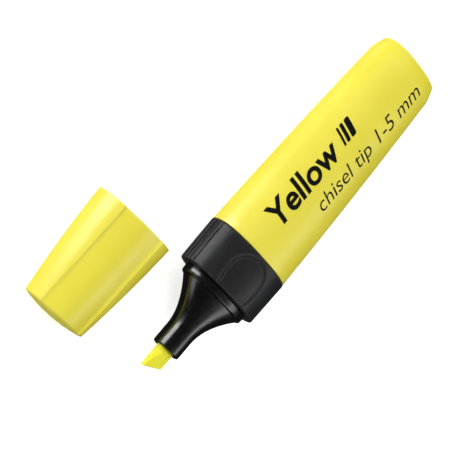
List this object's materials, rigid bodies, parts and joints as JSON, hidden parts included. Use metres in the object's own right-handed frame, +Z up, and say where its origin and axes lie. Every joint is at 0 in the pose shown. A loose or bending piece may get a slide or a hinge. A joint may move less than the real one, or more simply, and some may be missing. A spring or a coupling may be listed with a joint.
{
  "type": "highlighter",
  "caption": "Flat oval felt highlighter with a black grip collar, a flared nozzle and a slanted chisel nib, its tapered cap lying beside it.",
  "frame": {"origin": "on the surface that the pen and its cap lie on, midway along and across the pair", "axes": "+X along the pen towards the nib, +Y from the cap's side to the pen's side, +Z up out of the pen's wide face"},
  "size_m": [0.116, 0.0566, 0.0146],
  "materials": {
    "yellow_plastic": "semi-gloss moulded polypropylene",
    "satin_black": "satin",
    "gloss_black": "gloss",
    "nib_felt": "ink-soaked felt",
    "reservoir_fibre": "ink-soaked fibre",
    "reservoir_film": "clear film",
    "seal_plastic": "satin natural white"
  },
  "bodies": {
    "pen": {"barrel": "yellow_plastic", "rear_plug": "yellow_plastic", "grip_collar": "satin_black", "nozzle": "gloss_black", "nib": "nib_felt", "ink_reservoir": "reservoir_fibre", "reservoir_film": "reservoir_film"},
    "cap": {"cap_shell": "yellow_plastic", "cap_seal": "seal_plastic"}
  },
  "joints": [
    {"name": "cap_pull", "type": "slide", "parent": "pen", "child": "cap", "axis": [1, 0, 0], "range_m": [-0.0027, 0.0323]}
  ]
}
